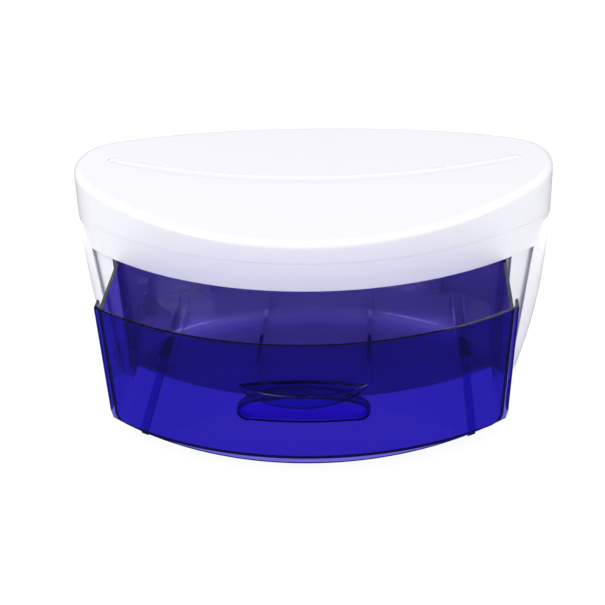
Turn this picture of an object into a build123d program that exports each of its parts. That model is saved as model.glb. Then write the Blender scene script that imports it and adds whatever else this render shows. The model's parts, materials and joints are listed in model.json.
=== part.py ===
from build123d import *
import os
from math import sqrt

# Ultraviolet sterilizer box: a white moulded housing with a dished hood, a tinted drawer with a bowed
# front that is pulled open, and under the hood a lamp on a reflector with its holders and ballast.
# Millimetres, +Z up, -Y towards the user. The origin is on the table, under the middle of the whole
# object with its drawer open.

os.makedirs("parts", exist_ok=True)

# ---------------------------------------------------------------- driving dimensions

# Housing seen from above: a lens of two bows with rounded ends
housing_width = 380.0
housing_depth = 232.0
front_radius = 241.0
back_radius = 257.0
end_radius = 65.0
wall = 2.5

# Heights above the table
foot_height = 3.0
base_thickness = 2.5
hood_edge_height = 110.5
seam_height = 133.0
hood_height = 150.0
dish_radius = 1000.0
dish_edge_radius = 5.0

# The sides narrow from the hood to the base
base_narrowing = 45.0
waist_narrowing = 23.0
waist_height = 38.0
shoulder_narrowing = 7.0
shoulder_height = 82.0

# Groove across the dished top
groove_length = 322.0
groove_y = 57.5
groove_bow = 16.0
groove_width = 13.0
groove_tip_radius = 5.0
groove_depth = 1.2
dimple_radius = 1.8
dimple_depth = 2.0

# Jambs beside the drawer opening, the lintel over it and the toe space under it
jamb_top_width = 18.0
jamb_bottom_width = 7.0
jamb_recess = 4.0
jamb_wall = 2.5
cheek_wall = 2.0
cheek_depth = 14.0
lintel_flange = 4.0
lintel_wall = 2.0
base_setback = 22.0
toe_margin = 19.5

# Seam between cover and housing
tongue_wall = 1.4
tongue_height = 3.0

# Drawer
drawer_open = 78.0
drawer_extra = 20.0
panel_margin = 35.0
panel_narrowing = 10.0
panel_corner_cut = 2.0
panel_height = 98.0
panel_wall = 2.5
panel_corner_height = 12.0
panel_tab_height = 6.5
return_depth = 10.0
return_wall = 2.2
tray_depth = 221.0
tray_back_radius = 195.0
tray_top_inset = 4.0
tray_floor_inset = 5.0
tray_floor_height = 14.0
tray_corner_radius = 14.0
tray_edge_radius = 9.0
tray_wall = 2.5

# Drawer handle: a hollow visor over a scoop
visor_width = 93.0
visor_reach = 12.0
visor_tip_height = 75.5
visor_rise = 5.8
visor_fall = 10.5
visor_wall = 2.0
visor_end_wall = 6.0
visor_edge_radius = 1.0
scoop_width = 92.0
scoop_bottom_width = 77.0
scoop_depth = 12.0
scoop_bottom_height = 47.0
scoop_end_height = 52.0
scoop_crown_height = 66.5
scoop_corner_x = 44.0
scoop_corner_rise = 1.8
scoop_wall = 1.8

# Runners under the drawer, the hooks that stop it, and the channels and skids that carry it
runner_inset = 23.0
runner_width = 6.0
runner_height = 2.0
hook_height = 5.0
hook_length = 4.0
channel_wall = 2.5
channel_floor_height = 7.5
channel_end_y = 108.0
stop_length = 4.0
skid_spacing = 90.0
skid_width = 3.0
skid_start_y = -30.0
skid_end_y = 118.0

# Clearances
running_gap = 0.4
slide_gap = 0.3
seat_gap = 0.3
screw_gap = 0.1
pivot_gap = 0.05
opening_gap = 1.0
edge_gap = 1.5

# Screws and the bosses they turn into
boss_radius = 4.0
shank_radius = 1.1
head_radius = 3.0
head_height = 1.8
screw_length = 10.0
small_shank_radius = 0.8
small_head_radius = 1.6
small_head_height = 1.0

# Cover screws go up through lugs on the housing's wall
side_lug_inset = 19.0
side_lug_y = 45.0
front_lug_x = 60.0
front_lug_inset = 18.0
lug_width = 12.0
lug_thickness = 3.0

# Base screws
side_boss_inset = 9.5
side_boss_y = 42.0
rear_boss_x = 104.0
rear_boss_inset = 34.0
base_boss_height = 14.0

# Feet
foot_radius = 8.0
foot_recess = 1.0
foot_front_x = 80.0
foot_front_y = -22.0
foot_back_x = 96.0
foot_back_y = 104.0

# Lamp, reflector and ballast
lamp_length = 288.0
lamp_radius = 8.0
lamp_glass = 0.9
lamp_y = 12.0
lamp_drop = 9.5
cap_length = 11.0
cap_radius = 8.3
pin_length = 7.0
pin_radius = 1.2
pin_spacing = 4.8
holder_thickness = 9.6
holder_width = 17.0
holder_below = 8.0
holder_foot_length = 9.0
holder_foot_wall = 2.0
reflector_wall = 0.8
reflector_inset = 3.0
reflector_drop = 1.5
reflector_boss_x = 122.0
reflector_boss_y = 44.0
reflector_front_x = 90.0
reflector_front_y = -26.0
trough_width = 46.0
trough_top_width = 30.0
trough_height = 7.0
trough_length = 262.0
ballast_length = 96.0
ballast_width = 30.0
ballast_height = 13.0
ballast_ear = 7.0
ballast_ear_wall = 1.6
ballast_x = 66.0
ballast_y = 72.0

# Rocker switch and power inlet in the back wall, with vents between them
fitting_x = 62.0
fitting_height = 121.5
switch_width = 21.0
switch_height = 15.0
flange_wall = 1.6
switch_body_width = 18.6
switch_body_height = 12.8
switch_body_depth = 12.0
rocker_width = 13.2
rocker_height = 9.6
rocker_pocket_width = 15.2
rocker_pocket_depth = 8.5
rocker_rise = 2.2
rocker_valley = 0.9
rocker_pivot_depth = 1.5
rocker_keel = 3.0
rocker_keel_width = 8.0
rocker_tilt = 8.0
trunnion_radius = 1.0
trunnion_seat = 0.6
inlet_width = 24.0
inlet_height = 15.0
inlet_body_width = 19.0
inlet_body_height = 12.0
inlet_body_depth = 14.0
socket_width = 16.0
socket_height = 8.0
socket_depth = 9.0
contact_radius = 1.2
contact_spacing = 8.6
vent_count = 9
vent_pitch = 6.0
vent_width = 2.4
vent_height = 13.0

# Interlock switch that only lets the lamp light while the drawer is shut
ear_height = 10.0
ear_length = 6.0
ear_back_y = -6.0
interlock_height = 32.0
interlock_length = 20.0
interlock_width = 6.4
interlock_depth = 10.0
plunger_radius = 1.5
plunger_reach = 3.0
plunger_seat = 4.0
plunger_travel = 1.5
post_wall = 2.5

# ---------------------------------------------------------------- places that follow from them

base_width = housing_width - base_narrowing
waist_width = housing_width - waist_narrowing
shoulder_width = housing_width - shoulder_narrowing
toe_width = base_width - 2 * toe_margin
panel_top_width = housing_width - 2 * panel_margin
panel_bottom_width = panel_top_width - panel_narrowing
panel_corner_width = panel_bottom_width - 2 * panel_corner_cut
tray_top_width = panel_top_width - 2 * tray_top_inset
tray_floor_width = panel_bottom_width - 2 * tray_floor_inset

visible_depth = visor_reach + drawer_open + housing_depth
back_y = visible_depth / 2
hood_y = back_y - housing_depth
panel_y = hood_y - drawer_open
front_centre_y = hood_y + front_radius
back_centre_y = back_y - back_radius
panel_centre_y = panel_y + front_radius
tray_back_centre_y = panel_y + tray_depth - tray_back_radius

side_lug_x = housing_width / 2 - side_lug_inset
front_lug_y = hood_y + front_lug_inset
side_boss_x = base_width / 2 - side_boss_inset
rear_boss_y = back_y - rear_boss_inset

base_top = foot_height + base_thickness
panel_top = hood_edge_height - edge_gap
panel_bottom = panel_top - panel_height
crown_height = hood_height + housing_width**2 / 8 / dish_radius + dish_edge_radius
shank_hole = shank_radius + screw_gap
small_hole = small_shank_radius + screw_gap
reflector_top = seam_height - reflector_drop
reflector_bottom = reflector_top - reflector_wall
lamp_height = reflector_bottom - lamp_drop
runner_x = tray_floor_width / 2 - runner_inset
skid_x = skid_spacing / 2
carry_height = tray_floor_height - slide_gap


def bow_y(x, radius, centre_y):
    """Where a bow towards the user stands at x."""
    return centre_y - sqrt(radius**2 - x**2)


def tray_side(level):
    """Half the tray's width at a height."""
    share = (level - tray_floor_height) / (panel_top - tray_floor_height)
    return (tray_floor_width + (tray_top_width - tray_floor_width) * share) / 2


def dish_rise(x):
    """How far the dished top stands above its middle at x."""
    return dish_radius - sqrt(dish_radius**2 - x**2)


def housing_outline(level, width, inset=0.0):
    """The housing's plan at one height, drawn in from the outer skin by inset."""
    with BuildSketch(Plane.XY.offset(level)) as outline:
        with Locations((0, front_centre_y)):
            Circle(front_radius - inset)
        with Locations((0, back_centre_y)):
            Circle(back_radius - inset, mode=Mode.INTERSECT)
        with Locations((0, (hood_y + back_y) / 2)):
            Rectangle(width - 2 * inset, 2 * housing_depth, mode=Mode.INTERSECT)
        fillet(outline.vertices(), end_radius - (housing_width - width) / 4 - inset)
    return outline.sketch


def housing_sections(inset=0.0):
    """Plans from the base to the seam, wider as they rise."""
    levels = [
        (base_top, base_width),
        (waist_height, waist_width),
        (shoulder_height, shoulder_width),
        (seam_height, housing_width),
    ]
    return [housing_outline(level, width, inset) for level, width in levels]


def above_dish(drop=0.0):
    """Front view of all that lies above the dished top, lowered by drop."""
    half = housing_width / 2 + wall
    low = hood_height - drop
    high = low + dish_rise(half)
    with BuildSketch(Plane.XZ) as profile:
        with BuildLine():
            ThreePointArc((-half, high), (0, low), (half, high))
            Polyline((half, high), (half, crown_height + half), (-half, crown_height + half), (-half, high))
        make_face()
    return profile.sketch


def front_shape(*corners):
    """A flat shape seen from the front, given by its corners as (x, z)."""
    with BuildSketch(Plane.XZ) as shape:
        with BuildLine():
            Polyline(*corners, close=True)
        make_face()
    return shape.sketch


def both_sides(shape):
    """A front shape with its mirror image across the middle."""
    return shape + mirror(shape, about=Plane.YZ)


def bow_ring(outer_radius, depth, centre_y, bottom, height):
    """A curved wall, bowed towards the user, between two radii."""
    with BuildPart() as ring:
        with BuildSketch(Plane.XY.offset(bottom)):
            with Locations((0, centre_y)):
                Circle(outer_radius)
                Circle(outer_radius - depth, mode=Mode.SUBTRACT)
            with Locations((0, centre_y + outer_radius / 2)):
                Rectangle(2 * outer_radius, 2 * outer_radius, mode=Mode.SUBTRACT)
        extrude(amount=height)
    return ring.part


def screws(places, z, turn=0.0, length=screw_length):
    """Pan-head screws, one at each place, with the head's seat at z and the shank up from it."""
    with BuildPart() as group:
        for place in places:
            seat = Plane(origin=(place[0], place[1], z)).rotated((turn, 0, 0))
            with BuildSketch(seat):
                Circle(head_radius)
            extrude(amount=-head_height)
            with BuildSketch(seat):
                Circle(shank_radius)
            extrude(amount=length)
    return group.part


def mirrored_places(*places):
    """Each place and its mirror image across the middle."""
    return [(side * x, y) for x, y in places for side in (-1, 1)]


def finish(piece, name):
    """Names a piece and writes it to its file."""
    piece.label = name
    export_step(piece, f"parts/{name}.step")


cover_screw_places = mirrored_places((side_lug_x, side_lug_y), (front_lug_x, front_lug_y))
reflector_screw_places = mirrored_places(
    (reflector_boss_x, reflector_boss_y), (reflector_front_x, reflector_front_y)
)
base_screw_places = mirrored_places((side_boss_x, side_boss_y), (rear_boss_x, rear_boss_y))
foot_places = mirrored_places((foot_front_x, foot_front_y), (foot_back_x, foot_back_y))

# ---------------------------------------------------------------- top cover

# The cavity under the dish
with BuildPart() as cover_cavity:
    add(housing_outline(seam_height, housing_width, wall))
    extrude(amount=crown_height)
    extrude(above_dish(wall), amount=housing_depth, both=True, mode=Mode.SUBTRACT)

# A crescent cut that follows the dish
with BuildPart() as groove:
    tip = groove_length / 2
    with BuildSketch(Plane.XY.offset(hood_height - wall)):
        with BuildLine():
            ThreePointArc(
                (-tip, groove_y - groove_tip_radius),
                (0, groove_y - groove_bow),
                (tip, groove_y - groove_tip_radius),
            )
            ThreePointArc(
                (tip, groove_y - groove_tip_radius),
                (tip + groove_tip_radius, groove_y),
                (tip, groove_y + groove_tip_radius),
            )
            ThreePointArc(
                (tip, groove_y + groove_tip_radius),
                (0, groove_y - groove_bow + groove_width),
                (-tip, groove_y + groove_tip_radius),
            )
            ThreePointArc(
                (-tip, groove_y + groove_tip_radius),
                (-tip - groove_tip_radius, groove_y),
                (-tip, groove_y - groove_tip_radius),
            )
        make_face()
    extrude(amount=crown_height)
    extrude(above_dish(groove_depth), amount=housing_depth, both=True, mode=Mode.INTERSECT)

# A dimple in the groove's left end
with BuildPart() as dimple:
    with BuildSketch(Plane.XY.offset(hood_height - wall)):
        with Locations((-tip, groove_y)):
            Circle(dimple_radius)
    extrude(amount=crown_height)
    extrude(above_dish(dimple_depth), amount=housing_depth, both=True, mode=Mode.INTERSECT)

# Bosses hang from the dish: long ones to the seam and the reflector's
with BuildPart() as cover_bosses:
    with BuildSketch(Plane.XY.offset(seam_height)):
        with Locations(cover_screw_places):
            Circle(boss_radius)
            Circle(shank_hole, mode=Mode.SUBTRACT)
    extrude(amount=crown_height - seam_height)
    with BuildSketch(Plane.XY.offset(reflector_top)):
        with Locations(reflector_screw_places):
            Circle(boss_radius)
            Circle(shank_hole, mode=Mode.SUBTRACT)
    extrude(amount=crown_height - reflector_top)
    extrude(above_dish(wall / 2), amount=housing_depth, both=True, mode=Mode.SUBTRACT)

with BuildPart() as top_cover:
    add(housing_outline(seam_height, housing_width))
    extrude(amount=crown_height)
    extrude(above_dish(), amount=housing_depth, both=True, mode=Mode.SUBTRACT)
    rim = top_cover.edges().filter_by(lambda e: e.center().Z > hood_height - wall and e.length > wall)
    fillet(rim, dish_edge_radius)
    add(cover_cavity.part, mode=Mode.SUBTRACT)
    add(groove.part, mode=Mode.SUBTRACT)
    add(dimple.part, mode=Mode.SUBTRACT)
    # The tongue that drops inside the housing's rim
    with BuildSketch(Plane.XY.offset(seam_height - tongue_height)):
        add(housing_outline(0, housing_width, wall + seat_gap))
        add(housing_outline(0, housing_width, wall + seat_gap + tongue_wall), mode=Mode.SUBTRACT)
        # Gaps in it for the housing's lugs
        side_gap_place = (side_lug_x + lug_width, side_lug_y)
        front_gap_place = (front_lug_x, front_lug_y - lug_width)
        with Locations(mirrored_places(side_gap_place, front_gap_place)):
            Rectangle(2 * lug_width, 2 * lug_width, mode=Mode.SUBTRACT)
    extrude(amount=tongue_height)
    with BuildSketch(Plane.XY.offset(seam_height)):
        add(housing_outline(0, housing_width, wall / 2))
        add(housing_outline(0, housing_width, wall + seat_gap + tongue_wall), mode=Mode.SUBTRACT)
    extrude(amount=tongue_wall)
    add(cover_bosses.part)

finish(top_cover.part, "top_cover")

# ---------------------------------------------------------------- main housing

with BuildPart() as housing_body:
    loft(housing_sections())

with BuildPart() as housing_cavity:
    loft(housing_sections(wall))

opening_top = panel_top_width / 2 + opening_gap
opening_bottom = panel_bottom_width / 2 + opening_gap
window_top = opening_top + jamb_top_width
window_bottom = opening_bottom + jamb_bottom_width
jamb_height = hood_edge_height - base_top
drawer_window = front_shape(
    (-window_top, hood_edge_height), (window_top, hood_edge_height), (window_bottom, 0), (-window_bottom, 0)
)
window_edge = front_shape(
    (window_top, hood_edge_height),
    (window_top + jamb_wall, hood_edge_height),
    (window_bottom + jamb_wall, 0),
    (window_bottom, 0),
)


def opening_side(level):
    """Half the width between the jambs at a height."""
    return opening_bottom + (opening_top - opening_bottom) * level / hood_edge_height


# What is hollow behind the jambs, beside their cheeks
behind_jamb = front_shape(
    (opening_top + cheek_wall, hood_edge_height),
    (housing_width, hood_edge_height),
    (housing_width, 0),
    (opening_bottom + cheek_wall, 0),
)
with BuildPart() as behind_jambs:
    add(bow_ring(front_radius - jamb_recess - jamb_wall, cheek_depth, front_centre_y, 0, hood_edge_height))
    extrude(both_sides(behind_jamb), amount=housing_depth, both=True, mode=Mode.INTERSECT)

# Recessed jambs with cheeks that run back beside the drawer
with BuildPart() as jambs:
    add(bow_ring(front_radius - jamb_recess, cheek_depth, front_centre_y, base_top, jamb_height))
    jamb_face = front_shape(
        (opening_top, hood_edge_height),
        (housing_width / 2, hood_edge_height),
        (housing_width / 2, 0),
        (opening_bottom, 0),
    )
    extrude(both_sides(jamb_face), amount=housing_depth, both=True, mode=Mode.INTERSECT)
    add(behind_jambs.part, mode=Mode.SUBTRACT)
    add(housing_body.part, mode=Mode.INTERSECT)

# Walls from the window's edges back to the jambs
with BuildPart() as window_returns:
    add(bow_ring(front_radius, jamb_recess + jamb_wall, front_centre_y, base_top, jamb_height))
    extrude(both_sides(window_edge), amount=housing_depth, both=True, mode=Mode.INTERSECT)
    add(housing_body.part, mode=Mode.INTERSECT)

# A flange behind the hood's edge
with BuildPart() as lintel:
    lintel_depth = lintel_flange + wall / 2
    add(bow_ring(front_radius - wall / 2, lintel_depth, front_centre_y, hood_edge_height, lintel_wall))
    add(housing_body.part, mode=Mode.INTERSECT)

# Lugs for the cover screws, and bosses for the base screws with a web back to the wall
with BuildPart() as housing_fittings:
    with BuildSketch(Plane.XY.offset(seam_height - lug_thickness)):
        for side in (-1, 1):
            with Locations((side * side_lug_x, side_lug_y)):
                Circle(lug_width / 2)
            with Locations((side * (side_lug_x + lug_width), side_lug_y)):
                Rectangle(2 * lug_width, lug_width)
            with Locations((side * front_lug_x, front_lug_y)):
                Circle(lug_width / 2)
            with Locations((side * front_lug_x, front_lug_y - lug_width)):
                Rectangle(lug_width, 2 * lug_width)
    extrude(amount=lug_thickness)
    with BuildSketch(Plane.XY.offset(base_top)):
        with Locations(base_screw_places):
            Circle(boss_radius)
        for side in (-1, 1):
            with Locations((side * (side_boss_x + boss_radius * 2), side_boss_y)):
                Rectangle(boss_radius * 4, wall)
            with Locations((side * rear_boss_x, rear_boss_y + boss_radius * 2)):
                Rectangle(wall, boss_radius * 4)
    extrude(amount=base_boss_height)
    add(housing_body.part, mode=Mode.INTERSECT)


def fitting_plane(side):
    """A plane on the back wall at the switch (1) or the inlet (-1), facing out."""
    turn = fitting_x / back_radius * side
    out = (turn, sqrt(1 - turn**2), 0)
    origin = (turn * back_radius, back_centre_y + out[1] * back_radius, fitting_height)
    return Plane(origin=origin, x_dir=(-out[1], turn, 0), z_dir=out)


switch_plane = fitting_plane(1)
inlet_plane = fitting_plane(-1)

with BuildPart() as main_housing:
    add(housing_body.part)
    add(housing_cavity.part, mode=Mode.SUBTRACT)
    extrude(Pos(0, end_radius, 0) * drawer_window, amount=housing_depth, mode=Mode.SUBTRACT)
    add(jambs.part)
    add(window_returns.part)
    add(lintel.part)
    add(housing_fittings.part)
    # Screw holes
    with BuildSketch(Plane.XY.offset(seam_height)):
        with Locations(cover_screw_places):
            Circle(shank_hole)
    extrude(amount=-lug_thickness, mode=Mode.SUBTRACT)
    with BuildSketch(Plane.XY.offset(base_top)):
        with Locations(base_screw_places):
            Circle(shank_hole)
    extrude(amount=base_boss_height - wall, mode=Mode.SUBTRACT)
    # Cut-outs in the back wall
    with BuildSketch(switch_plane):
        Rectangle(switch_body_width + 2 * seat_gap, switch_body_height + 2 * seat_gap)
    extrude(amount=3 * wall, both=True, mode=Mode.SUBTRACT)
    with BuildSketch(inlet_plane):
        Rectangle(inlet_body_width + 2 * seat_gap, inlet_body_height + 2 * seat_gap)
    extrude(amount=3 * wall, both=True, mode=Mode.SUBTRACT)
    with BuildSketch(Plane.XZ.offset(-back_y)):
        with Locations((0, fitting_height)):
            with GridLocations(vent_pitch, 0, vent_count, 1):
                SlotOverall(vent_height, vent_width, rotation=90)
    extrude(amount=4 * wall, mode=Mode.SUBTRACT)

finish(main_housing.part, "main_housing")

# ---------------------------------------------------------------- base

toe_end_y = bow_y(toe_width / 2, front_radius, front_centre_y + base_setback)
hook_back_y = tray_back_centre_y + sqrt(tray_back_radius**2 - runner_x**2) - tray_wall
hook_front_y = hook_back_y - hook_length
stop_back_y = hook_front_y - drawer_extra - slide_gap
channel_start_y = stop_back_y - stop_length
channel_inner = runner_width + 2 * running_gap
channel_outer = channel_inner + 2 * channel_wall
ear_inner_x = tray_side(interlock_height) - tray_wall / 2
ear_outer_x = opening_side(interlock_height - ear_height / 2) - running_gap
post_x = tray_side(interlock_height + interlock_length / 2) + running_gap + interlock_width
plunger_x = post_x - interlock_width / 2
plunger_tip_y = ear_back_y + drawer_open + slide_gap
interlock_y = plunger_tip_y + plunger_reach

with BuildPart() as base_plate:
    with BuildSketch(Plane.XY.offset(foot_height)) as plate:
        add(housing_outline(0, base_width))
        # Toe space in front, with the same bow as the hood but set back
        with BuildSketch(mode=Mode.PRIVATE) as toe_space:
            with Locations((0, toe_end_y - housing_depth / 2)):
                Rectangle(toe_width, housing_depth)
            with Locations((0, front_centre_y + base_setback)):
                Circle(front_radius, mode=Mode.SUBTRACT)
        add(toe_space.sketch, mode=Mode.SUBTRACT)
    extrude(amount=base_thickness)
    # Rim that locates the housing
    with BuildSketch(Plane.XY.offset(base_top)):
        add(housing_outline(0, base_width, wall + 2 * seat_gap))
        add(housing_outline(0, base_width, wall + 2 * seat_gap + tongue_wall), mode=Mode.SUBTRACT)
        with Locations((0, hood_y)):
            Rectangle(housing_width, 2 * (side_boss_y - hood_y) + 2 * lug_width, mode=Mode.SUBTRACT)
        with Locations(mirrored_places((rear_boss_x, back_y))):
            Rectangle(lug_width, housing_depth / 2, mode=Mode.SUBTRACT)
    extrude(amount=tongue_height)
    # Channels for the drawer's runners, closed in front by the stops
    for side in (-1, 1):
        channel_middle = (channel_start_y + channel_end_y) / 2
        channel_length = channel_end_y - channel_start_y
        with BuildSketch(Plane.XY.offset(base_top)):
            with Locations((side * runner_x, channel_middle)):
                Rectangle(channel_outer, channel_length)
        extrude(amount=carry_height - base_top)
        with BuildSketch(Plane.XY.offset(channel_floor_height)):
            with Locations((side * runner_x, channel_middle + stop_length / 2)):
                Rectangle(channel_inner, channel_length - stop_length)
        extrude(amount=carry_height, mode=Mode.SUBTRACT)
        with BuildSketch(Plane.XY.offset(tray_floor_height - runner_height - slide_gap)):
            with Locations((side * runner_x, channel_middle)):
                Rectangle(channel_inner, channel_length + stop_length)
        extrude(amount=carry_height, mode=Mode.SUBTRACT)
    # Skids under the middle of the drawer
    with BuildSketch(Plane.XY.offset(base_top)):
        with Locations(mirrored_places((skid_x, (skid_start_y + skid_end_y) / 2))):
            Rectangle(skid_width, skid_end_y - skid_start_y)
    extrude(amount=carry_height - base_top)
    # Post for the interlock switch
    with BuildSketch(Plane.XY.offset(base_top)):
        with Locations((-post_x - post_wall / 2, interlock_y + interlock_depth / 2)):
            Rectangle(post_wall, interlock_depth)
    extrude(amount=interlock_height + interlock_length / 2 - base_top)
    with BuildSketch(Plane.YZ.offset(-post_x - post_wall)):
        with Locations(
            (interlock_y + interlock_depth / 2, interlock_height - interlock_length / 4),
            (interlock_y + interlock_depth / 2, interlock_height + interlock_length / 4),
        ):
            Circle(small_hole)
    extrude(amount=post_wall, mode=Mode.SUBTRACT)
    # Screw holes and seats for the feet
    with BuildSketch(Plane.XY.offset(foot_height)):
        with Locations(base_screw_places):
            Circle(shank_hole)
    extrude(amount=base_thickness, mode=Mode.SUBTRACT)
    with BuildSketch(Plane.XY.offset(foot_height)):
        with Locations(foot_places):
            Circle(foot_radius + seat_gap)
    extrude(amount=foot_recess, mode=Mode.SUBTRACT)

finish(base_plate.part, "base_plate")

with BuildPart() as rubber_feet:
    with BuildSketch():
        with Locations(foot_places):
            Circle(foot_radius)
    extrude(amount=foot_height + foot_recess)
    chamfer(rubber_feet.faces().sort_by(Axis.Z)[:4].edges(), foot_recess)

finish(rubber_feet.part, "rubber_feet")

# ---------------------------------------------------------------- drawer tray


def tray_outline(level, width, inset=0.0):
    """The tray's plan at one height; its front runs on past the drawer's front."""
    with BuildSketch(Plane.XY.offset(level)) as outline:
        with Locations((0, tray_back_centre_y)):
            Circle(tray_back_radius - inset)
        with Locations((0, panel_y)):
            Rectangle(width - 2 * inset, tray_depth * 2, mode=Mode.INTERSECT)
        with Locations((0, panel_y - tray_depth)):
            Rectangle(2 * housing_width, 2 * tray_depth - 2 * drawer_extra, mode=Mode.SUBTRACT)
        fillet(outline.vertices().sort_by(Axis.Y)[-2:], tray_corner_radius - inset)
    return outline.sketch


def tray_block(bottom, inset):
    """The tray's outside, or with an inset its inside, with rounded lower edges."""
    outlines = [tray_outline(level, 2 * tray_side(level), inset) for level in (bottom, panel_top)]
    with BuildPart() as block:
        loft(outlines, ruled=True)
        lower = block.faces().sort_by(Axis.Z)[0].edges().sort_by(Axis.Y)[1:]
        fillet(lower, tray_edge_radius - inset)
    return block.part


with BuildPart() as drawer_tray:
    add(tray_block(tray_floor_height, 0.0))
    add(tray_block(tray_floor_height + tray_wall, tray_wall), mode=Mode.SUBTRACT)
    # Runners with a hook at their back end
    for side in (-1, 1):
        runner_front_y = bow_y(runner_x, front_radius, panel_centre_y)
        with BuildSketch(Plane.XY.offset(tray_floor_height - runner_height)):
            with Locations((side * runner_x, (runner_front_y + hook_back_y) / 2)):
                Rectangle(runner_width, hook_back_y - runner_front_y)
        extrude(amount=runner_height + tray_wall / 2)
        with BuildSketch(Plane.XY.offset(tray_floor_height - hook_height)):
            with Locations((side * runner_x, (hook_front_y + hook_back_y) / 2)):
                Rectangle(runner_width, hook_length)
        extrude(amount=hook_height)
    # Everything stops at the inner face of the drawer's front
    with BuildSketch(Plane.XY):
        with Locations((0, panel_centre_y)):
            Circle(front_radius - panel_wall)
    extrude(amount=crown_height, mode=Mode.INTERSECT)
    # Ear that presses the interlock switch
    with BuildSketch(Plane.XY.offset(interlock_height - ear_height / 2)):
        with Locations((-(ear_inner_x + ear_outer_x) / 2, ear_back_y - ear_length / 2)):
            Rectangle(ear_outer_x - ear_inner_x, ear_length)
    extrude(amount=ear_height)

finish(drawer_tray.part, "drawer_tray")

# ---------------------------------------------------------------- drawer front

corner_z = panel_bottom + panel_corner_height
tab_z = panel_bottom + panel_tab_height
with BuildSketch(Plane.XZ) as panel_outline:
    with BuildLine():
        Line((-panel_top_width / 2, panel_top), (panel_top_width / 2, panel_top))
        Line((panel_top_width / 2, panel_top), (panel_bottom_width / 2, corner_z))
        Line((panel_bottom_width / 2, corner_z), (panel_corner_width / 2, tab_z))
        ThreePointArc((panel_corner_width / 2, tab_z), (0, panel_bottom), (-panel_corner_width / 2, tab_z))
        Line((-panel_corner_width / 2, tab_z), (-panel_bottom_width / 2, corner_z))
        Line((-panel_bottom_width / 2, corner_z), (-panel_top_width / 2, panel_top))
    make_face()

return_strip = front_shape(
    (panel_top_width / 2, panel_top),
    (panel_bottom_width / 2, corner_z),
    (panel_bottom_width / 2 - return_wall, corner_z),
    (panel_top_width / 2 - return_wall, panel_top),
)


def scoop_outline(grow=0.0):
    """The scoop seen from the front, a low elliptic arch over a flat sill with rounded ends."""
    low = scoop_bottom_height - grow
    end = scoop_width / 2 + grow
    sill = scoop_bottom_width / 2
    corner = scoop_corner_x + grow
    arch = scoop_crown_height + grow - scoop_end_height
    with BuildSketch(Plane.XZ) as outline:
        with BuildLine():
            Line((-sill, low), (sill, low))
            ThreePointArc((sill, low), (corner, low + scoop_corner_rise), (end, scoop_end_height))
            EllipticalCenterArc((0, scoop_end_height), end, arch, start_angle=0, arc_size=180)
            ThreePointArc((-end, scoop_end_height), (-corner, low + scoop_corner_rise), (-sill, low))
        make_face()
    return outline.sketch


def visor_block(inset, end_inset, root):
    """The visor's outside, or with insets its hollow, run back by root into the drawer's front."""
    half = visor_width / 2
    reach = visor_reach + front_radius - sqrt(front_radius**2 - half**2)
    bow = (half**2 + reach**2) / (2 * reach)
    axis_y = panel_y - visor_reach + bow
    outer = bow - inset
    brow = visor_tip_height - inset
    with BuildPart() as block:
        # A sloping top that ends in a bowed front edge
        with BuildSketch(Plane(origin=(0, axis_y, 0), x_dir=(1, 0, 0), z_dir=(0, -1, 0))) as profile:
            with BuildLine():
                Polyline(
                    (outer - 2 * visor_reach, 0),
                    (outer, 0),
                    (outer, brow),
                    (outer - 2 * visor_reach, brow + 2 * visor_rise),
                    close=True,
                )
            make_face()
            fillet(profile.vertices().group_by(Axis.X)[-1].sort_by(Axis.Y)[-1], visor_edge_radius)
        revolve(axis=Axis((0, axis_y, 0), (0, 0, 1)))
        with BuildSketch(Plane.XY):
            with Locations((0, panel_y - housing_depth / 2 + visor_reach)):
                Rectangle(visor_width - 2 * end_inset, housing_depth)
            with Locations((0, panel_centre_y)):
                Circle(front_radius - root, mode=Mode.SUBTRACT)
        extrude(amount=crown_height, mode=Mode.INTERSECT)
        # The rim smiles below its tips
        with BuildSketch(Plane.XZ):
            with BuildLine():
                EllipticalCenterArc((0, brow), half, visor_fall, start_angle=180, arc_size=180)
                Polyline((half, brow), (half, 0), (-half, 0), (-half, brow))
            make_face()
        extrude(amount=housing_depth, mode=Mode.SUBTRACT)
    return block.part


# Lips that run back from the front's two ends
with BuildPart() as side_returns:
    add(bow_ring(front_radius, return_depth, panel_centre_y, 0, crown_height))
    extrude(both_sides(return_strip), amount=housing_depth, both=True, mode=Mode.INTERSECT)

# The scoop's bowl behind the front
scoop_back_y = panel_y + scoop_depth
with BuildPart() as bowl:
    with BuildSketch(Plane.XY):
        with Locations((0, panel_centre_y)):
            Circle(front_radius)
    extrude(amount=crown_height)
    extrude(
        Pos(0, scoop_back_y + scoop_wall, 0) * scoop_outline(scoop_wall),
        amount=scoop_depth + 2 * scoop_wall,
        mode=Mode.INTERSECT,
    )

with BuildPart() as drawer_front:
    add(bow_ring(front_radius, panel_wall, panel_centre_y, 0, crown_height))
    extrude(panel_outline.sketch, amount=housing_depth, both=True, mode=Mode.INTERSECT)
    add(side_returns.part)
    add(bowl.part)
    extrude(Pos(0, scoop_back_y, 0) * scoop_outline(), amount=2 * scoop_depth, mode=Mode.SUBTRACT)
    add(visor_block(0.0, 0.0, panel_wall / 2))
    add(visor_block(visor_wall, visor_end_wall, 0.0), mode=Mode.SUBTRACT)

finish(drawer_front.part, "drawer_front")

# ---------------------------------------------------------------- reflector, lamp, holders and ballast

lamp_half = lamp_length / 2
holder_x = lamp_half + seat_gap
holder_foot_x = holder_x + holder_thickness + holder_foot_length / 2

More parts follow.
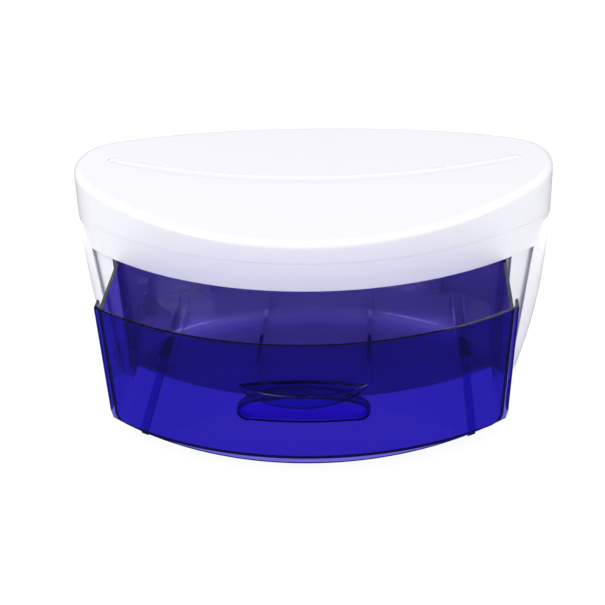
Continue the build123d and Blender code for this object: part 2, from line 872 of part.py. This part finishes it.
with BuildPart() as reflector_plate:
    with BuildSketch(Plane.XY.offset(reflector_bottom)):
        add(housing_outline(0, housing_width, wall + reflector_inset))
        # Notches round the housing's lugs
        for side in (-1, 1):
            with Locations((side * (side_lug_x + lug_width / 2), side_lug_y)):
                Rectangle(2 * lug_width + 4 * seat_gap, lug_width + 4 * seat_gap, mode=Mode.SUBTRACT)
            with Locations((side * front_lug_x, front_lug_y - lug_width / 2)):
                Rectangle(lug_width + 4 * seat_gap, 2 * lug_width + 4 * seat_gap, mode=Mode.SUBTRACT)
        with Locations((0, lamp_y)):
            Rectangle(trough_length, trough_width, mode=Mode.SUBTRACT)
        with Locations(reflector_screw_places):
            Circle(shank_hole, mode=Mode.SUBTRACT)
        with Locations(mirrored_places((holder_foot_x, lamp_y))):
            Circle(shank_hole, mode=Mode.SUBTRACT)
        ballast_hole_x = ballast_length / 2 + ballast_ear / 2
        with Locations((ballast_x - ballast_hole_x, ballast_y), (ballast_x + ballast_hole_x, ballast_y)):
            Circle(shank_hole, mode=Mode.SUBTRACT)
    extrude(amount=reflector_wall)
    # The bent trough above the lamp
    with BuildSketch(Plane.YZ.offset(-trough_length / 2)):
        with BuildLine():
            Polyline(
                (lamp_y - trough_width / 2 - wall, reflector_bottom),
                (lamp_y - trough_width / 2, reflector_bottom),
                (lamp_y - trough_top_width / 2, reflector_bottom + trough_height),
                (lamp_y + trough_top_width / 2, reflector_bottom + trough_height),
                (lamp_y + trough_width / 2, reflector_bottom),
                (lamp_y + trough_width / 2 + wall, reflector_bottom),
                (lamp_y + trough_width / 2 + wall, reflector_top),
                (lamp_y + trough_width / 2, reflector_top),
                (lamp_y + trough_top_width / 2, reflector_top + trough_height),
                (lamp_y - trough_top_width / 2, reflector_top + trough_height),
                (lamp_y - trough_width / 2, reflector_top),
                (lamp_y - trough_width / 2 - wall, reflector_top),
                close=True,
            )
        make_face()
    extrude(amount=trough_length)

finish(reflector_plate.part, "reflector_plate")

tube_half = lamp_half - cap_length

with BuildPart() as lamp_tube:
    with BuildSketch(Plane.YZ.offset(-tube_half)):
        with Locations((lamp_y, lamp_height)):
            Circle(lamp_radius)
            Circle(lamp_radius - lamp_glass, mode=Mode.SUBTRACT)
    extrude(amount=2 * tube_half)

finish(lamp_tube.part, "lamp_tube")

with BuildPart() as lamp_caps:
    for side in (-1, 1):
        with BuildSketch(Plane.YZ.offset(side * tube_half)):
            with Locations((lamp_y, lamp_height)):
                Circle(cap_radius)
        extrude(amount=side * cap_length)
        chamfer(lamp_caps.faces().sort_by(Axis.X)[-1 if side > 0 else 0].edges(), lamp_glass)

finish(lamp_caps.part, "lamp_caps")

with BuildPart() as lamp_pins:
    for side in (-1, 1):
        with BuildSketch(Plane.YZ.offset(side * lamp_half)):
            with Locations((lamp_y, lamp_height)):
                with GridLocations(0, pin_spacing, 1, 2):
                    Circle(pin_radius)
        extrude(amount=side * pin_length)

finish(lamp_pins.part, "lamp_pins")


def lamp_holder(side):
    """A holder that hangs under the reflector and takes the lamp's two pins in a slot."""
    with BuildPart() as holder:
        body_height = reflector_bottom - lamp_height + holder_below
        with BuildSketch(Plane.XY.offset(lamp_height - holder_below)):
            with Locations((side * (holder_x + holder_thickness / 2), lamp_y)):
                RectangleRounded(holder_thickness, holder_width, holder_thickness / 4)
        extrude(amount=body_height)
        with BuildSketch(Plane.XY.offset(reflector_bottom - holder_foot_wall)):
            with Locations((side * (holder_foot_x - holder_thickness / 4), lamp_y)):
                Rectangle(holder_foot_length + holder_thickness / 2, holder_width)
            with Locations((side * holder_foot_x, lamp_y)):
                Circle(shank_hole, mode=Mode.SUBTRACT)
        extrude(amount=holder_foot_wall)
        with BuildSketch(Plane.XY.offset(lamp_height - holder_below)):
            with Locations((side * (holder_x + pin_length / 2), lamp_y)):
                Rectangle(pin_length + 2 * seat_gap, 2 * (pin_radius + seat_gap))
        extrude(amount=holder_below + pin_spacing / 2 + pin_radius + seat_gap, mode=Mode.SUBTRACT)
    return holder.part


finish(lamp_holder(-1), "lamp_holder_left")
finish(lamp_holder(1), "lamp_holder_right")

with BuildPart() as ballast:
    with BuildSketch(Plane.XY.offset(reflector_top)):
        with Locations((ballast_x, ballast_y)):
            RectangleRounded(ballast_length, ballast_width, ballast_ear_wall)
    extrude(amount=ballast_height)
    fillet(ballast.faces().sort_by(Axis.Z)[-1].edges(), ballast_ear_wall)
    with BuildSketch(Plane.XY.offset(reflector_top)):
        with Locations((ballast_x, ballast_y)):
            RectangleRounded(ballast_length + 2 * ballast_ear, ballast_width / 2, ballast_ear_wall)
        with Locations((ballast_x - ballast_hole_x, ballast_y), (ballast_x + ballast_hole_x, ballast_y)):
            Circle(shank_hole, mode=Mode.SUBTRACT)
    extrude(amount=ballast_ear_wall)

finish(ballast.part, "ballast")

# ---------------------------------------------------------------- switch and inlet on the back wall

pivot_plane = switch_plane.offset(-rocker_pivot_depth)
pivot_level = Plane(origin=pivot_plane.origin, x_dir=pivot_plane.x_dir, z_dir=(0, 0, 1))
trunnion_half = rocker_height / 2 + slide_gap + trunnion_seat

with BuildPart() as switch_frame:
    with BuildSketch(switch_plane):
        RectangleRounded(switch_width, switch_height, flange_wall)
    extrude(amount=flange_wall)
    with BuildSketch(switch_plane):
        Rectangle(switch_body_width, switch_body_height)
    extrude(amount=-switch_body_depth)
    with BuildSketch(switch_plane.offset(flange_wall)):
        Rectangle(rocker_pocket_width, rocker_height + 2 * slide_gap)
    extrude(amount=-flange_wall - rocker_pocket_depth, mode=Mode.SUBTRACT)
    # Seats for the rocker's trunnions, which run up and down
    with BuildSketch(pivot_level):
        Circle(trunnion_radius + pivot_gap)
    extrude(amount=trunnion_half + pivot_gap, both=True, mode=Mode.SUBTRACT)

finish(switch_frame.part, "switch_frame")

# The rocker's plan, with its valley at the pivot, turned to its off position
with BuildPart() as rocker:
    turned = pivot_level.rotated((0, 0, -rocker_tilt))
    half = rocker_width / 2
    keel_half = rocker_keel_width / 2
    crest = -rocker_pivot_depth - rocker_rise
    valley = -rocker_pivot_depth - rocker_valley
    with BuildSketch(turned.offset(-rocker_height / 2)):
        with BuildLine():
            ThreePointArc((-half, crest), (0, valley), (half, crest))
            Polyline(
                (half, crest),
                (half, 0),
                (keel_half, rocker_keel),
                (-keel_half, rocker_keel),
                (-half, 0),
                (-half, crest),
            )
        make_face()
    extrude(amount=rocker_height)
    with BuildSketch(turned.offset(-trunnion_half)):
        Circle(trunnion_radius)
    extrude(amount=2 * trunnion_half)

finish(rocker.part, "rocker")

with BuildPart() as power_inlet:
    with BuildSketch(inlet_plane):
        RectangleRounded(inlet_width, inlet_height, flange_wall)
    extrude(amount=flange_wall)
    with BuildSketch(inlet_plane):
        RectangleRounded(inlet_body_width, inlet_body_height, flange_wall)
    extrude(amount=-inlet_body_depth)
    with BuildSketch(inlet_plane.offset(flange_wall)):
        SlotOverall(socket_width, socket_height)
    extrude(amount=-flange_wall - socket_depth, mode=Mode.SUBTRACT)

finish(power_inlet.part, "power_inlet")

with BuildPart() as inlet_contacts:
    with BuildSketch(inlet_plane.offset(-socket_depth)):
        with GridLocations(contact_spacing, 0, 2, 1):
            Circle(contact_radius)
    extrude(amount=socket_depth - flange_wall)

finish(inlet_contacts.part, "inlet_contacts")

# ---------------------------------------------------------------- interlock switch

with BuildPart() as interlock_switch:
    with BuildSketch(Plane.XY.offset(interlock_height - interlock_length / 2)):
        with Locations((-plunger_x, interlock_y + interlock_depth / 2)):
            Rectangle(interlock_width, interlock_depth)
    extrude(amount=interlock_length)
    with BuildSketch(Plane.XZ.offset(-interlock_y)):
        with Locations((-plunger_x, interlock_height)):
            Circle(plunger_radius + pivot_gap)
    extrude(amount=-plunger_seat - plunger_travel - slide_gap, mode=Mode.SUBTRACT)
    with BuildSketch(Plane.YZ.offset(-post_x)):
        with Locations(
            (interlock_y + interlock_depth / 2, interlock_height - interlock_length / 4),
            (interlock_y + interlock_depth / 2, interlock_height + interlock_length / 4),
        ):
            Circle(small_hole)
    extrude(amount=interlock_width, mode=Mode.SUBTRACT)

finish(interlock_switch.part, "interlock_switch")

with BuildPart() as interlock_plunger:
    with BuildSketch(Plane.XZ.offset(-plunger_tip_y)):
        with Locations((-plunger_x, interlock_height)):
            Circle(plunger_radius)
    extrude(amount=-plunger_reach - plunger_seat)
    fillet(interlock_plunger.faces().sort_by(Axis.Y)[0].edges(), plunger_radius / 2)

finish(interlock_plunger.part, "interlock_plunger")

# ---------------------------------------------------------------- screws

finish(screws(cover_screw_places, seam_height - lug_thickness), "cover_screws")
finish(screws(reflector_screw_places, reflector_bottom), "reflector_screws")
finish(screws(base_screw_places, foot_height), "base_screws")
holder_screw_places = mirrored_places((holder_foot_x, lamp_y))
finish(
    screws(holder_screw_places, reflector_bottom - holder_foot_wall, length=screw_length / 2),
    "holder_screws",
)
ballast_screw_places = [(ballast_x - ballast_hole_x, ballast_y), (ballast_x + ballast_hole_x, ballast_y)]
finish(
    screws(ballast_screw_places, reflector_top + ballast_ear_wall, turn=180, length=screw_length / 2),
    "ballast_screws",
)

with BuildPart() as interlock_screws:
    screw_y = interlock_y + interlock_depth / 2
    for z in (interlock_height - interlock_length / 4, interlock_height + interlock_length / 4):
        with BuildSketch(Plane.YZ.offset(-post_x - post_wall)):
            with Locations((screw_y, z)):
                Circle(small_head_radius)
        extrude(amount=-small_head_height)
        with BuildSketch(Plane.YZ.offset(-post_x - post_wall)):
            with Locations((screw_y, z)):
                Circle(small_shank_radius)
        extrude(amount=post_wall + interlock_width)

finish(interlock_screws.part, "interlock_screws")
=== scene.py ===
"""Looks of an ultraviolet sterilizer box: a white dished hood over a tinted drawer, pulled open.

Metres, +Z up, -Y towards the user, in the same frame as the CAD part.
"""

import json
import math

import bpy
from mathutils import Matrix, Vector

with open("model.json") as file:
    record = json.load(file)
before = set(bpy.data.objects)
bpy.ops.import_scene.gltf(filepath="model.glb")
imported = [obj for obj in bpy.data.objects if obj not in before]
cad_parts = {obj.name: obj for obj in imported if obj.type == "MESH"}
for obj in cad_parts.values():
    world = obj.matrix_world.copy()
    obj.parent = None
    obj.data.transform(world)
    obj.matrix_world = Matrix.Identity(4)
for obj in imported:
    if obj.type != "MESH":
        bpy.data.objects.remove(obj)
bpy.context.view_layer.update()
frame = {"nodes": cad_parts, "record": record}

MM = 0.001

# ------------------------------------------------------------ camera, fitted to the photo

# Place and nearest distance in metres, angles in degrees
PHOTO_WIDTH_PX = 605
FOCAL_LENGTH_PX = 1400
SENSOR_WIDTH_MM = 36.0
CAMERA_PLACE = (0.0618, -0.9842, 0.5952)
CAMERA_AZIMUTH = 4.05
CAMERA_ELEVATION = 28.34
CAMERA_ROLL = -2.08
CAMERA_NEAR = 0.05

# ------------------------------------------------------------ light

# The floor to look at is a glow, and the rest of its light is left to keep the object's shadow
FLOOR_COLOUR = (0.93, 0.93, 0.94)
FLOOR_ROUGHNESS = 0.9
FLOOR_LIFT = 0.88
FLOOR_GLOW = 1.06
FLOOR_HALF_SIZE = 6.0

# The world as a fill on the object, and how bright it and the floor are in the plastic's gloss
WORLD_COLOUR = (0.95, 0.95, 1.0)
WORLD_STRENGTH = 0.62
ROOM_IN_GLOSS = 0.10

# Softboxes: name, place, point they face, width, height, power in watts
SOFTBOXES = [
    ("key_softbox", (-0.70, -1.10, 1.70), (0.0, 0.0, 0.08), 1.3, 0.9, 14.0),
    ("top_softbox", (0.10, 0.55, 1.80), (0.0, 0.05, 0.10), 1.6, 1.0, 12.0),
    ("left_softbox", (-1.50, -1.45, 0.70), (0.0, 0.0, 0.10), 0.9, 0.8, 8.5),
    ("right_softbox", (1.65, -1.00, 0.70), (0.0, 0.0, 0.10), 0.9, 0.8, 11.0),
]

SEEN_IN_GLOSS = ("left_softbox", "right_softbox")

# Small lamps round the closed part of the drawer, in the same columns. They face down and stand
# for the light that the hood's thin walls let in.
HOOD_FILLS = [
    ("back_fill", (0.0, 0.105, 0.127), (0.0, 0.125, 0.0), 0.20, 0.04, 0.03),
    ("left_fill", (-0.168, 0.025, 0.127), (-0.160, 0.025, 0.0), 0.02, 0.12, 0.045),
    ("right_fill", (0.168, 0.025, 0.127), (0.160, 0.025, 0.0), 0.02, 0.12, 0.04),
    ("floor_fill", (0.0, 0.010, 0.01385), (0.0, 0.010, 0.0), 0.236, 0.14, 0.03),
]

# ------------------------------------------------------------ finishes

PURE_WHITE = (1.0, 1.0, 1.0)
WHITE = (0.86, 0.86, 0.885)
WHITE_UNDER = (0.80, 0.80, 0.83)
GLASS = (0.97, 0.98, 1.0)
CLEAR_TINT = (0.93, 0.93, 0.98)
BLUE_PASSED = (0.22, 0.10, 0.86)
# Painted shade: a deeper blue on the handle's visor and a deeper one still in its recessed scoop,
# though they are the same plastic as the rest of the front
BLUE_VISOR_PAINTED_SHADE = (0.62, 0.50, 0.94)
BLUE_SCOOP_PAINTED_SHADE = (0.36, 0.22, 0.88)
# Painted shade: the darkest blue along the visor's rim and brow edges, where light through the
# thick edge is lost
BLUE_EDGE_PAINTED_SHADE = (0.10, 0.05, 0.42)
BLUE_DENSITY = 800.0
EDGE_RADIUS = 0.7 * MM

# Noise: waves per metre and fine detail, and shares of the roughness and the colour
COLOUR_DRIFT = (9.0, 2.0)
MOULDED_GLOSS = (40.0, 4.0)
CLEAR_GLOSS = (60.0, 3.0)
CLEAR_GLOSS_SPREAD = 0.5
CLEAR_RIPPLE = (14.0, 1.0)
PEEL_DETAIL = 2.0
METAL_DETAIL = 4.0
METAL_SHADE = 0.9
CLEAR_IOR = 1.49

# Moulded plastics: name, colour, roughness and its spread, size and depth of the orange peel,
# and how dark the darker places are
MOULDED = {
    "white_shell": ("white_abs", WHITE, 0.24, 0.05, 0.9 * MM, 0.004 * MM, 0.97),
    "white_base": ("white_satin_abs", WHITE_UNDER, 0.42, 0.05, 0.6 * MM, 0.01 * MM, 0.97),
    "rubber": ("soft_rubber", (0.035, 0.035, 0.038), 0.75, 0.08, 0.5 * MM, 0.03 * MM, 0.8),
    "white_fitting": (
        "white_polycarbonate", (0.8, 0.8, 0.78), 0.45, 0.05, 0.4 * MM, 0.01 * MM, 0.97,
    ),
    "ballast_case": (
        "grey_flame_proof_case", (0.7, 0.7, 0.68), 0.5, 0.06, 0.4 * MM, 0.02 * MM, 0.97,
    ),
    "black_fitting": (
        "black_nylon", (0.022, 0.022, 0.024), 0.4, 0.06, 0.35 * MM, 0.02 * MM, 0.8,
    ),
    "red_fitting": ("red_acetal", (0.5, 0.035, 0.03), 0.35, 0.05, 0.35 * MM, 0.01 * MM, 0.97),
}

# Metals: name, colour, roughness and its spread, grain in waves per metre, and its depth
METALS = {
    "reflector": (
        "rolled_aluminium", (0.86, 0.87, 0.88), 0.2, 0.06, (20.0, 900.0, 900.0), 0.006 * MM,
    ),
    "cap_metal": (
        "drawn_aluminium", (0.8, 0.81, 0.82), 0.32, 0.06, (80.0, 900.0, 900.0), 0.005 * MM,
    ),
    "brass": (
        "nickel_brass", (0.76, 0.66, 0.42), 0.26, 0.05, (300.0, 600.0, 600.0), 0.003 * MM,
    ),
    "steel": (
        "zinc_plated_steel", (0.62, 0.62, 0.64), 0.3, 0.08, (500.0, 500.0, 500.0), 0.008 * MM,
    ),
}

# Clear materials: tint, colour that passes, density, roughness, and depth of the ripple
BLUE_CLEAR = (CLEAR_TINT, BLUE_PASSED, BLUE_DENSITY, 0.03, 0.05 * MM)
QUARTZ_CLEAR = (GLASS, PURE_WHITE, 0.0, 0.02, 0.01 * MM)

# The photo shows no dark switch through the drawer's wall, so this one is as white as the body
WHITE_NODES = ("interlock_switch", "interlock_plunger")

# ------------------------------------------------------------ the drawer front's handle

# The front's bowed wall, seen from above
FRONT_AXIS_Y = 92.0 * MM
FRONT_MIDDLE_RADIUS = 239.75 * MM
FRONT_HALF_WALL = 1.5 * MM
HANDLE_HALF_WIDTH = 50.0 * MM

# The visor on it: its bowed skin, the level of its tips, how far its rim hangs, and the widths of
# the painted dark edge shade along its rim and brow
VISOR_AXIS_Y = -87.2 * MM
VISOR_RADIUS = 73.8 * MM
VISOR_SKIN = 1.3 * MM
VISOR_HALF_WIDTH = 46.5 * MM
VISOR_TIP_HEIGHT = 75.5 * MM
VISOR_FALL = 10.5 * MM
VISOR_RIM_SHADE_BAND = 1.3 * MM
VISOR_BROW_SHADE_BAND = 0.9 * MM

# ------------------------------------------------------------ building materials


def material(name):
    """A new node material, with its Principled shader and its node tree."""
    made = bpy.data.materials.new(name)
    made.use_nodes = True
    return made, made.node_tree.nodes["Principled BSDF"], made.node_tree


def feed(tree, value, socket):
    """Gives a socket a number, a colour or what another socket puts out."""
    if isinstance(value, bpy.types.NodeSocket):
        tree.links.new(value, socket)
    else:
        socket.default_value = (*value, 1.0) if isinstance(value, tuple) else value


def object_place(tree):
    """The place in the object's own metres."""
    return tree.nodes.new("ShaderNodeTexCoord").outputs["Object"]


def noise_at(tree, place, scale, detail):
    """Noise from 0 to 1."""
    noise = tree.nodes.new("ShaderNodeTexNoise")
    noise.inputs["Scale"].default_value = scale
    noise.inputs["Detail"].default_value = detail
    feed(tree, place, noise.inputs["Vector"])
    return noise.outputs["Fac"]


def between(tree, factor, low, high):
    """Spreads a factor of 0 to 1 over low to high."""
    spread = tree.nodes.new("ShaderNodeMapRange")
    spread.inputs["To Min"].default_value = low
    spread.inputs["To Max"].default_value = high
    feed(tree, factor, spread.inputs["Value"])
    return spread.outputs["Result"]


def blend_colours(tree, factor, first, second):
    """A colour that runs from first to second with the factor."""
    mix = tree.nodes.new("ShaderNodeMix")
    mix.data_type = "RGBA"
    feed(tree, first, mix.inputs["A"])
    feed(tree, second, mix.inputs["B"])
    feed(tree, factor, mix.inputs["Factor"])
    return mix.outputs["Result"]


def math_node(tree, operation, *values):
    """The result of an operation on sockets or numbers."""
    node = tree.nodes.new("ShaderNodeMath")
    node.operation = operation
    for socket, value in zip(node.inputs, values):
        feed(tree, value, socket)
    return node.outputs[0]


def bump(tree, shader, height, depth):
    """Gives the shader's normal a relief of that depth in metres, and returns the node."""
    node = tree.nodes.new("ShaderNodeBump")
    node.inputs["Distance"].default_value = depth
    feed(tree, height, node.inputs["Height"])
    feed(tree, node.outputs["Normal"], shader.inputs["Normal"])
    return node


def soften_edges(tree, relief, radius):
    """Rounds the edges in the light by a radius in metres, under a relief."""
    rounded = tree.nodes.new("ShaderNodeBevel")
    rounded.inputs["Radius"].default_value = radius
    feed(tree, rounded.outputs["Normal"], relief.inputs["Normal"])


def vary(tree, shader, colour, shade, drift, gloss, spread, unevenness):
    """Lets the colour drift down to a darker shade, and spreads the roughness about its middle."""
    darker = tuple(shade * part for part in colour)
    feed(tree, blend_colours(tree, drift, darker, colour), shader.inputs["Base Color"])
    roughness = between(tree, unevenness, gloss - spread, gloss + spread)
    feed(tree, roughness, shader.inputs["Roughness"])


def moulded_plastic(name, colour, gloss, spread, peel_size, peel_depth, shade):
    """Opaque moulded plastic: slight colour drift, uneven gloss and a faint orange peel."""
    made, shader, tree = material(name)
    place = object_place(tree)
    drift = noise_at(tree, place, *COLOUR_DRIFT)
    unevenness = noise_at(tree, place, *MOULDED_GLOSS)
    vary(tree, shader, colour, shade, drift, gloss, spread, unevenness)
    peel = noise_at(tree, place, 1.0 / peel_size, PEEL_DETAIL)
    soften_edges(tree, bump(tree, shader, peel, peel_depth), EDGE_RADIUS)
    return made


def metal(name, colour, gloss, spread, grain, depth):
    """Metal with a grain drawn out along X."""
    made, shader, tree = material(name)
    shader.inputs["Metallic"].default_value = 1.0
    stretch = tree.nodes.new("ShaderNodeMapping")
    stretch.inputs["Scale"].default_value = grain
    feed(tree, object_place(tree), stretch.inputs["Vector"])
    lines = noise_at(tree, stretch.outputs["Vector"], 1.0, METAL_DETAIL)
    vary(tree, shader, colour, METAL_SHADE, lines, gloss, spread, lines)
    bump(tree, shader, lines, depth)
    return made


def clear_plastic(name, tint, passed, density, gloss, ripple):
    """Clear tinted plastic or glass, darker where the light goes further through it."""
    made, shader, tree = material(name)
    place = object_place(tree)
    shader.inputs["Base Color"].default_value = (*tint, 1.0)
    shader.inputs["Transmission Weight"].default_value = 1.0
    shader.inputs["IOR"].default_value = CLEAR_IOR
    spread = gloss * CLEAR_GLOSS_SPREAD
    unevenness = noise_at(tree, place, *CLEAR_GLOSS)
    roughness = between(tree, unevenness, gloss - spread, gloss + spread)
    feed(tree, roughness, shader.inputs["Roughness"])
    bump(tree, shader, noise_at(tree, place, *CLEAR_RIPPLE), ripple)
    if density:
        inside = tree.nodes.new("ShaderNodeVolumeAbsorption")
        inside.inputs["Color"].default_value = (*passed, 1.0)
        inside.inputs["Density"].default_value = density
        feed(tree, inside.outputs["Volume"], tree.nodes["Material Output"].inputs["Volume"])
    return made


def paint_handle_shade(made):
    """Paints shade into the colour of the front's visor and scoop, and the darkest shade on the
    visor's edges.

    Both stand off the front's bowed wall: the visor lies outside it and the scoop inside.
    """
    tree = made.node_tree
    place = tree.nodes.new("ShaderNodeSeparateXYZ")
    feed(tree, object_place(tree), place.inputs["Vector"])
    across, along, height = (place.outputs[axis] for axis in "XYZ")

    def calc(operation, *values):
        return math_node(tree, operation, *values)

    def radius_about(axis_y):
        """Distance from an upright axis on the object's middle plane."""
        forward = calc("SUBTRACT", along, axis_y)
        return calc("SQRT", calc("ADD", *(calc("MULTIPLY", leg, leg) for leg in (across, forward))))

    near = calc("LESS_THAN", calc("ABSOLUTE", across), HANDLE_HALF_WIDTH)
    off_wall = calc("SUBTRACT", radius_about(FRONT_AXIS_Y), FRONT_MIDDLE_RADIUS)
    visor = calc("MULTIPLY", near, calc("GREATER_THAN", off_wall, FRONT_HALF_WALL))
    scoop = calc("MULTIPLY", near, calc("LESS_THAN", off_wall, -FRONT_HALF_WALL))

    # The rim hangs below the tips in half an ellipse
    outward = calc("DIVIDE", across, VISOR_HALF_WIDTH)
    left_over = calc("SUBTRACT", 1.0, calc("MULTIPLY", outward, outward))
    hang = calc("MULTIPLY", calc("SQRT", calc("MAXIMUM", left_over, 0.0)), VISOR_FALL)
    over_rim = calc("SUBTRACT", height, calc("SUBTRACT", VISOR_TIP_HEIGHT, hang))
    rim = calc("LESS_THAN", over_rim, VISOR_RIM_SHADE_BAND)

    # The upper edge runs level with the tips, in the visor's outer skin
    off_brow = calc("ABSOLUTE", calc("SUBTRACT", height, VISOR_TIP_HEIGHT))
    level = calc("LESS_THAN", off_brow, VISOR_BROW_SHADE_BAND)
    outer = calc("GREATER_THAN", radius_about(VISOR_AXIS_Y), VISOR_RADIUS - VISOR_SKIN)
    # Where the dark edge shade is painted: the band along the rim, and the band along the brow on
    # the outer skin
    edges = calc("MULTIPLY", visor, calc("MAXIMUM", rim, calc("MULTIPLY", level, outer)))

    # Painted shade: the visor and the recessed scoop get deeper blues than the rest of the front
    tint = blend_colours(tree, visor, CLEAR_TINT, BLUE_VISOR_PAINTED_SHADE)
    tint = blend_colours(tree, scoop, tint, BLUE_SCOOP_PAINTED_SHADE)
    # Painted shade: the darkest blue on those edges
    tint = blend_colours(tree, edges, tint, BLUE_EDGE_PAINTED_SHADE)
    feed(tree, tint, tree.nodes["Principled BSDF"].inputs["Base Color"])
    return made


finishes = {slot: moulded_plastic(*values) for slot, values in MOULDED.items()}
finishes.update({slot: metal(*values) for slot, values in METALS.items()})
finishes["blue_plastic"] = clear_plastic("blue_polystyrene", *BLUE_CLEAR)
finishes["lamp_glass"] = clear_plastic("quartz_glass", *QUARTZ_CLEAR)
# The drawer front's material, with painted shade on its handle
handle_front_painted_shade = paint_handle_shade(clear_plastic("blue_polystyrene_front_painted_shade", *BLUE_CLEAR))

slot_of = {piece["node"]: piece["material_slot"] for piece in frame["record"]["subparts"]}
for node, shown in frame["nodes"].items():
    shown.data.materials.clear()
    slot = "white_fitting" if node in WHITE_NODES else slot_of[node]
    shown.data.materials.append(handle_front_painted_shade if node == "drawer_front" else finishes[slot])

# ------------------------------------------------------------ floor, world and lights


def ray_kinds(tree):
    """Two sockets: 1 for a ray that shows what lies behind, straight or through clear plastic,
    and 1 for a ray that gloss has mirrored.
    """
    path = tree.nodes.new("ShaderNodeLightPath")
    through = path.outputs["Is Transmission Ray"]
    shown = math_node(tree, "MAXIMUM", path.outputs["Is Camera Ray"], through)
    mirrored = math_node(tree, "SUBTRACT", path.outputs["Is Glossy Ray"], through)
    return shown, math_node(tree, "MAXIMUM", mirrored, 0.0)


def make_floor():
    """A plain white floor that keeps a little shadow and is dim in the plastic's gloss."""
    mesh = bpy.data.meshes.new("floor")
    half = FLOOR_HALF_SIZE
    corners = [(-half, -half, 0), (half, -half, 0), (half, half, 0), (-half, half, 0)]
    mesh.from_pydata(corners, [], [(0, 1, 2, 3)])
    floor = bpy.data.objects.new("floor", mesh)
    bpy.context.scene.collection.objects.link(floor)
    paint, shader, tree = material("pale_floor")
    shader.inputs["Base Color"].default_value = (*FLOOR_COLOUR, 1.0)
    shader.inputs["Roughness"].default_value = FLOOR_ROUGHNESS
    shown, mirrored = ray_kinds(tree)
    lifted = math_node(tree, "MULTIPLY", shown, FLOOR_LIFT)
    surface = shader.outputs["BSDF"]
    for share, strength in ((lifted, FLOOR_GLOW), (mirrored, ROOM_IN_GLOSS)):
        glow = tree.nodes.new("ShaderNodeEmission")
        glow.inputs["Strength"].default_value = strength
        mix = tree.nodes.new("ShaderNodeMixShader")
        feed(tree, share, mix.inputs["Fac"])
        feed(tree, surface, mix.inputs[1])
        feed(tree, glow.outputs["Emission"], mix.inputs[2])
        surface = mix.outputs["Shader"]
    feed(tree, surface, tree.nodes["Material Output"].inputs["Surface"])
    mesh.materials.append(paint)


def make_world():
    """White to look at, dim in the plastic's gloss and a plain soft fill on the object."""
    world = bpy.data.worlds.new("studio")
    bpy.context.scene.world = world
    world.use_nodes = True
    tree = world.node_tree
    background = tree.nodes["Background"]
    shown, mirrored = ray_kinds(tree)
    colour = blend_colours(tree, shown, WORLD_COLOUR, PURE_WHITE)
    feed(tree, colour, background.inputs["Color"])
    lit = between(tree, shown, WORLD_STRENGTH, 1.0)
    dimmed = math_node(tree, "MULTIPLY", mirrored, ROOM_IN_GLOSS - WORLD_STRENGTH)
    feed(tree, math_node(tree, "ADD", lit, dimmed), background.inputs["Strength"])


def make_softbox(name, place, target, width, height, power):
    """A rectangular lamp at a place, facing its target."""
    lamp = bpy.data.lights.new(name, "AREA")
    lamp.shape = "RECTANGLE"
    lamp.size = width
    lamp.size_y = height
    lamp.energy = power
    box = bpy.data.objects.new(name, lamp)
    box.location = place
    box.rotation_mode = "QUATERNION"
    box.rotation_quaternion = (Vector(target) - Vector(place)).to_track_quat("-Z", "Y")
    bpy.context.scene.collection.objects.link(box)
    return box


def make_camera():
    """The photo's camera: where it stood, which way it looked and how it was rolled."""
    turn = math.radians(CAMERA_AZIMUTH)
    rise = math.radians(CAMERA_ELEVATION)
    roll = math.radians(CAMERA_ROLL)
    flat = math.cos(rise)
    back = Vector((math.sin(turn) * flat, -math.cos(turn) * flat, math.sin(rise)))
    level = Vector((math.cos(turn), math.sin(turn), 0.0))
    upright = back.cross(level)
    right = math.cos(roll) * level + math.sin(roll) * upright
    up = back.cross(right)
    lens = bpy.data.cameras.new("photo_camera")
    lens.sensor_width = SENSOR_WIDTH_MM
    lens.lens = FOCAL_LENGTH_PX / PHOTO_WIDTH_PX * SENSOR_WIDTH_MM
    lens.clip_start = CAMERA_NEAR
    camera = bpy.data.objects.new("photo_camera", lens)
    bpy.context.scene.collection.objects.link(camera)
    facing = Matrix((right, up, back)).transposed().to_4x4()
    camera.matrix_world = Matrix.Translation(CAMERA_PLACE) @ facing
    bpy.context.scene.camera = camera


make_floor()
make_world()
for softbox in SOFTBOXES:
    lamp = make_softbox(*softbox)
    lamp.visible_glossy = softbox[0] in SEEN_IN_GLOSS
for fill in HOOD_FILLS:
    unseen = make_softbox(*fill)
    unseen.visible_glossy = False
    unseen.visible_transmission = False
make_camera()
bpy.context.scene.view_settings.view_transform = "Standard"
